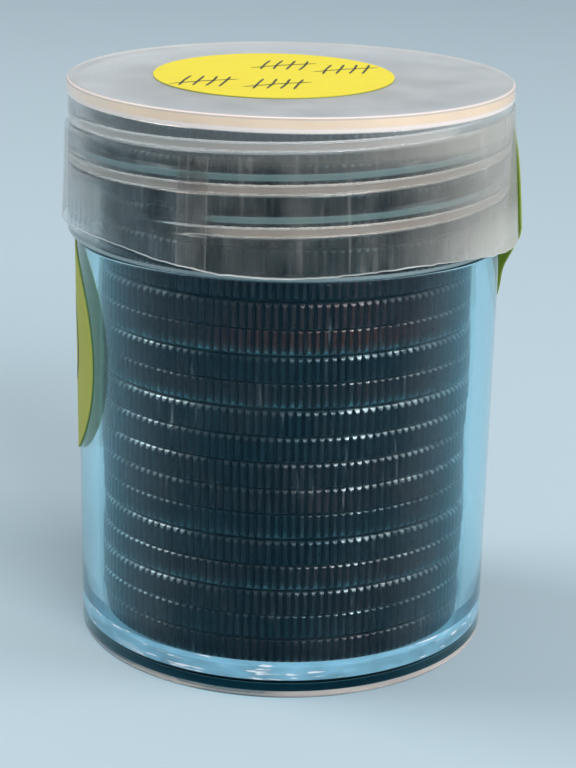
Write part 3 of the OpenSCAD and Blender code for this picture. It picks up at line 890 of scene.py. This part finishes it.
# Coins that lie with their wide crown down, then by coin, and for coins not named: how much painted teal
# sheen the lower crown carries, how brown the coin is, and how bright its upper crown is
TURNED_OVER = (1, 2, 4, 6, 11, 13, 15)
UNDER_SHEEN_SHARES = {1: 0.5, 2: 0.15, 4: 0.8, 6: 0.6, 11: 1.0, 13: 1.0, 15: 0.1}
BROWN_SHARES = {13: 0.95, 14: 0.65, 4: 0.45, 1: 0.45, 7: 0.4, 11: 0.4, 15: 0.4, 8: 0.3, 3: 0.35}
BRIGHT_SHARES = {1: 0.25, 2: 1.0, 3: 0.8, 4: 0.9, 5: 0.85, 6: 0.4, 7: 1.0, 8: 0.75, 9: 0.85, 10: 0.9, 11: 0.6,
                 12: 0.85, 13: 0.6, 14: 0.5}
UNDER_SHEEN_ELSE, BROWN_ELSE, BRIGHT_ELSE = 0.14, 0.1, 0.35
LOW_BRIGHT = 0.1
# Where the worn crowns carry a painted glint near the front and where the brown is strongest: middle and
# width, in degrees to the right
GLINT = 0.7
GLINT_DEG, GLINT_W_DEG = 22, 5
BROWN_DEG, BROWN_W_DEG = 14, 34
# How much of the worn edge's brightness is kept in front, and from where and over how many degrees it grows
# to the full painted sheen at the sides
FRONT_SHEEN_SHARE = 0.16
AWAY_DEG, AWAY_W_DEG = 20, 25


def zip_rings(inner, outer):
    """Triangles between two closed rings of point numbers, both counted round the same way."""
    faces, i, j = [], 0, 0
    n, m = len(inner), len(outer)
    while i < n or j < m:
        if j >= m or (i < n and (i + 1) / n <= (j + 1) / m):
            faces.append((inner[i % n], outer[j % m], inner[(i + 1) % n]))
            i += 1
        else:
            faces.append((inner[i % n], outer[j % m], outer[(j + 1) % m]))
            j += 1
    return faces


def coin_face_rings(rim_r):
    """Rings (radii by column, depth under the rim) from the centre to the rim of a coin's face."""
    angles = np.arange(FACE_COLUMNS) * FULL / FACE_COLUMNS
    step = FULL / STAR_POINTS
    to_tip = np.abs((angles + STAR_SHIFT) % step - step / 2) / (step / 2)
    tip, waist = STAR_D / 2, STAR_D / 2 * STAR_WAIST_SHARE
    tip_at = np.array([tip, 0.0])
    waist_at = np.array([waist * math.cos(step / 2), waist * math.sin(step / 2)])
    turn = (1 - to_tip) * step / 2
    edge = waist_at - tip_at
    star = (tip_at[0] * edge[1] - tip_at[1] * edge[0]) / (np.cos(turn) * edge[1] - np.sin(turn) * edge[0])
    one = np.ones(FACE_COLUMNS)
    raised = FIELD_DEPTH - RELIEF_H
    ring_in, ring_out = RING_D / 2 - RING_W, RING_D / 2
    field_r = rim_r - RIM_W
    return [
        (0.02 * one, raised - 0.02), (0.35 * star, raised - 0.01), (0.75 * star, raised),
        (star - 0.2, raised), (star, FIELD_DEPTH - 0.01), (star + 0.1, FIELD_DEPTH),
        ((ring_in - 0.6) * one, FIELD_DEPTH), ((ring_in - 0.06) * one, FIELD_DEPTH),
        (ring_in * one, raised + 0.02), ((ring_in + 0.1) * one, raised), ((ring_out - 0.1) * one, raised),
        (ring_out * one, raised + 0.02), ((ring_out + 0.06) * one, FIELD_DEPTH),
        ((field_r - FIELD_DEPTH - 0.15) * one, FIELD_DEPTH),
        ((field_r - FIELD_DEPTH) * one, FIELD_DEPTH - 0.02), ((field_r - 0.05) * one, 0.06),
        ((field_r + 0.06) * one, 0.0),
    ]


def coin_shape(number):
    """One coin with its marks for the material: warm for its brown tone, wear with painted sheen and glints,
    grime with painted shade, and under for the painted teal sheen of its lower crown.
    """
    node_low, node_high = [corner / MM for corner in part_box(COIN_NODES[number - 1])]
    over = number in TURNED_OVER
    low_crown, high_crown = (WIDE_CROWN, NARROW_CROWN) if over else (NARROW_CROWN, WIDE_CROWN)
    reed_a = FULL / REEDS
    places = np.concatenate([reed_a * (k + np.array(REED_PLACE_SHARES)) for k in range(REEDS)])
    depth = np.tile(REED_DEPTH_SHARES, REEDS)
    reed_r = COIN_R - REED_DEPTH * depth
    columns = len(places)
    bright = BRIGHT_SHARES.get(number, BRIGHT_ELSE)
    # Stretches of the edge that are rubbed brighter than the rest, with painted sheen that is dim in front
    # and full at the sides, and a painted glint just right of the front
    turn = math.radians(COIN_TURN * number) - FRONT
    side_deg = np.degrees((places + turn + math.pi) % FULL - math.pi)
    rubbed_and_glinting = 0.5 + 0.5 * smooth_step(0.5 + 0.9 * wander(places * 1.6, 2.7 * number, 2))
    away = smooth_step((np.abs(side_deg) - AWAY_DEG) / AWAY_W_DEG)
    glint = GLINT * np.exp(-(((side_deg - GLINT_DEG) / GLINT_W_DEG) ** 2))
    rubbed_and_glinting *= FRONT_SHEEN_SHARE + (1 - FRONT_SHEEN_SHARE) * np.maximum(away, glint)

    def crown(size, is_top):
        """The rim's radius, and rows of (radii, drop, wear with painted sheen, grime with painted shade) from
        there out to the edge.
        """
        width, rise = size
        rim_r = COIN_R - width
        reach = np.arcsin(np.clip((reed_r - rim_r) / width, 0, 1))
        made = []
        for share in (0, 0.3, 0.6, 0.85, 1):
            radius = rim_r + width * np.sin(reach * share)
            drop = rise * (1 - np.cos(reach * share))
            shine = (bright if is_top else LOW_BRIGHT) * (1 - 0.45 * share) * (1 - 0.6 * depth)
            # Painted shade on the crown next to the flat rim, where the coins meet, and grime over the reed
            # grooves
            grime_and_shade_here = np.maximum(0.3 * depth * share, (1 - share / 0.5) if share < 0.5 else 0)
            if over and not is_top:
                grime_and_shade_here = 0.2 * grime_and_shade_here
            made.append((radius, drop, shine * rubbed_and_glinting, grime_and_shade_here))
        return rim_r, made

    low_rim_r, low_rows = crown(low_crown, False)
    high_rim_r, high_rows = crown(high_crown, True)
    # Rows of (radii, heights, wear with painted sheen, grime with painted shade, painted teal sheen) up the
    # edge, from the lower rim to the upper one
    crown_sheen = np.full(columns, UNDER_SHEEN_SHARES.get(number, UNDER_SHEEN_ELSE))
    rows = [(*low_row, crown_sheen) for low_row in low_rows]
    low_end, high_end = low_rows[-1][1], COIN_T - high_rows[-1][1]
    for share in (0.04, 0.35, 0.65, 0.96):
        # A little painted teal sheen at the foot of the reeds
        teal_sheen = np.full(columns, 0.3 * UNDER_SHEEN_SHARES.get(number, 0) * (share < 0.1))
        height = low_end + (high_end - low_end) * share
        rows.append((reed_r, height, 0.009 * (1 - depth), 0.8 * depth ** 1.5, teal_sheen))
    for radius, drop, shine, grime_and_shade_amount in high_rows[::-1]:
        rows.append((radius, COIN_T - drop, shine, grime_and_shade_amount, np.zeros(columns)))

    points = []
    for radius, height, *_ in rows:
        points += round_row(radius, height, places)
    faces = grid_faces(len(rows), columns)
    wears_and_glints, grimes_and_shades, under_sheens = [list(np.concatenate(values)) for values in list(zip(*rows))[2:]]

    face_angles = np.arange(FACE_COLUMNS) * FULL / FACE_COLUMNS
    last = (len(rows) - 1) * columns
    for rim_r, edge_first, is_top in ((low_rim_r, 0, False), (high_rim_r, last, True)):
        first = len(points)
        face_rings = coin_face_rings(rim_r)
        for radius, sunk in face_rings:
            points += round_row(radius, COIN_T - sunk if is_top else sunk, face_angles)
            high_spot = 0.5 if sunk < FIELD_DEPTH - RELIEF_H + 0.01 else 0.1
            wears_and_glints += [high_spot * bright] * FACE_COLUMNS
            grimes_and_shades += [0.0 if high_spot == 0.5 else 0.25] * FACE_COLUMNS
            under_sheens += [0.0] * FACE_COLUMNS
        made = grid_faces(len(face_rings), FACE_COLUMNS, first)
        rim_ring = [first + (len(face_rings) - 1) * FACE_COLUMNS + k for k in range(FACE_COLUMNS)]
        made += zip_rings(rim_ring, [edge_first + k for k in range(columns)])
        made.append(tuple(first + k for k in range(FACE_COLUMNS))[::-1])
        faces += made
    centre = (node_low + node_high) / 2
    spun = np.array(points) @ np.array(Matrix.Rotation(turn, 3, "Z")).T
    spun += np.array((centre.x, centre.y, node_low.z))
    side_deg = np.degrees(np.arctan2(spun[:, 0] - centre.x, centre.y - spun[:, 1]))
    brown_here = 0.3 + 0.7 * np.exp(-(((side_deg - BROWN_DEG) / BROWN_W_DEG) ** 2))
    warms = BROWN_SHARES.get(number, BROWN_ELSE) * brown_here
    return ([tuple(p) for p in spun], faces), {"warm": warms, "wear_and_glint": wears_and_glints, "grime_and_shade": grimes_and_shades, "under": under_sheens}


# The stage, the lamps and the camera

FLOOR_COLOUR = (0.56, 0.7, 0.78)
SKY_COLOUR = (0.84, 0.92, 1)
SKY_LIGHT = 0.3
SKY_SHOWN = 0.6
FLOOR_REACH = 4.0
FLOOR_SINK = -0.00003
WHITE = (1, 1, 1)
WARM_WHITE = (1, 0.97, 0.93)
LAMP_AIM = (0, 0, 0.025)
# Lamps: name, place, size, watts and colour
LAMPS = [("key_left", (-0.45, 0.1, 0.55), (0.28, 0.28), 1.9, WARM_WHITE),
         ("key_right", (0.4, -0.05, 0.6), (0.22, 0.22), 1.15, WARM_WHITE),
         ("front_fill", (0.36, -0.62, 0.45), (0.5, 0.3), 4, WHITE)]
CAMERA_BACK = 0.1661
CAMERA_HEIGHT = 0.0749
CAMERA_PITCH = math.radians(18.03)
CAMERA_YAW = math.radians(0.08)
CAMERA_ROLL = math.radians(1.16)
CAMERA_LENS = 96.9
SENSOR_W = 36


def make_camera():
    """A camera at the place that was fitted to the photograph."""
    camera = bpy.data.objects.new("camera", bpy.data.cameras.new("camera"))
    bpy.context.scene.collection.objects.link(camera)
    camera.data.lens = CAMERA_LENS
    camera.data.sensor_width = SENSOR_W
    camera.data.clip_start = 0.01
    ahead = Vector((math.sin(CAMERA_YAW) * math.cos(CAMERA_PITCH),
                    math.cos(CAMERA_YAW) * math.cos(CAMERA_PITCH), -math.sin(CAMERA_PITCH)))
    right = Vector((math.cos(CAMERA_YAW), -math.sin(CAMERA_YAW), 0))
    up = right.cross(ahead)
    level = Matrix((right, up, -ahead)).transposed()
    camera.matrix_world = (Matrix.Translation((0, -CAMERA_BACK, CAMERA_HEIGHT))
                           @ (level @ Matrix.Rotation(CAMERA_ROLL, 3, "Z")).to_4x4())
    bpy.context.scene.camera = camera


def make_lamp(name, at, size, power, colour):
    """A soft rectangular lamp that faces the middle of the part."""
    lamp = bpy.data.objects.new(name, bpy.data.lights.new(name, "AREA"))
    bpy.context.scene.collection.objects.link(lamp)
    lamp.data.shape = "RECTANGLE"
    lamp.data.size, lamp.data.size_y = size
    lamp.data.energy = power
    lamp.data.color = colour
    lamp.location = at
    lamp.rotation_euler = (Vector(LAMP_AIM) - lamp.location).to_track_quat("-Z", "Y").to_euler()


def make_stage():
    """A plain floor, and a sky that is brighter where it is seen than where it lights."""
    material, tree = new_material("floor")
    show(tree, make_node(tree, "BsdfPrincipled", {
        "Base Color": blend_colour(tree, cloudy(tree, 40, 2), FLOOR_COLOUR,
                                   tuple(c * 0.98 for c in FLOOR_COLOUR)),
        "Roughness": 0.7, "Specular IOR Level": 0.2}).outputs["BSDF"])
    mesh = bpy.data.meshes.new("floor")
    signs = ((-1, -1), (1, -1), (1, 1), (-1, 1))
    mesh.from_pydata([(FLOOR_REACH * x, FLOOR_REACH * y, FLOOR_SINK) for x, y in signs], [], [(0, 1, 2, 3)])
    mesh.materials.append(material)
    floor = bpy.data.objects.new("floor", mesh)
    bpy.context.scene.collection.objects.link(floor)

    world = bpy.data.worlds.new("studio")
    bpy.context.scene.world = world
    world.use_nodes = True
    tree = world.node_tree
    tree.nodes.clear()
    path = make_node(tree, "LightPath")
    seen = largest(tree, *(path.outputs[f"Is {kind} Ray"] for kind in ("Camera", "Glossy", "Transmission")))
    lit, shown = [make_node(tree, "Background", {"Color": (*SKY_COLOUR, 1), "Strength": strength}).outputs[0]
                  for strength in (SKY_LIGHT, SKY_SHOWN)]
    both = make_node(tree, "MixShader", {0: seen, 1: lit, 2: shown}).outputs["Shader"]
    make_node(tree, "OutputWorld", {"Surface": both})


make_camera()
make_stage()
for lamp in LAMPS:
    make_lamp(*lamp)

plastic, lid_plastic, tape, paper, ink, metal = (
    clear_plastic(), frosted_plastic(), clear_tape(), yellow_paper(), pen_ink(), toned_coin_metal())

lid_disc = disc_sheet(LID_LABEL_D, on_lid, LABEL_T - INK_T)
side_disc = disc_sheet(SIDE_LABEL_D, on_wall, LABEL_T - INK_T, SIDE_SHADE)
seam_disc = disc_sheet(SIDE_LABEL_D, on_seam, LABEL_T, SEAM_SHADE, SEAL_RINGS)
for name, (shape, marks), material, body, slot, node in (
        ("tube", tube_shape(), plastic, "tube", "clear_plastic", "tube_body"),
        ("lid", lid_shape(), lid_plastic, "lid", "frosted_plastic", "screw_lid"),
        ("tape", tape_shape(), tape, "lid", "clear_tape", "lid_tape"),
        ("lid_sticker", lid_disc, paper, "lid", "yellow_paper", "lid_label"),
        ("side_sticker", side_disc, paper, "tube", "yellow_paper", "side_label"),
        ("seam_sticker", seam_disc, paper, "lid", "yellow_paper", "seal_label")):
    make_piece(name, shape, material, body, node, marks=marks)

paths = [path for middle in TALLY_AT for path in tally(middle)]
make_piece("lid_pen_strokes", join(*(stroke(path, on_lid) for path in paths)), ink, "lid")
make_piece("side_pen_stroke", stroke(SIDE_PEN_PATH, on_wall, SIDE_PEN_W), ink, "tube")

for number, node in enumerate(COIN_NODES, 1):
    shape, marks = coin_shape(number)
    make_piece("reeded_" + node, shape, metal, node, node, COIN_SHARP_DEG, marks)

bpy.context.scene.view_settings.view_transform = "Standard"
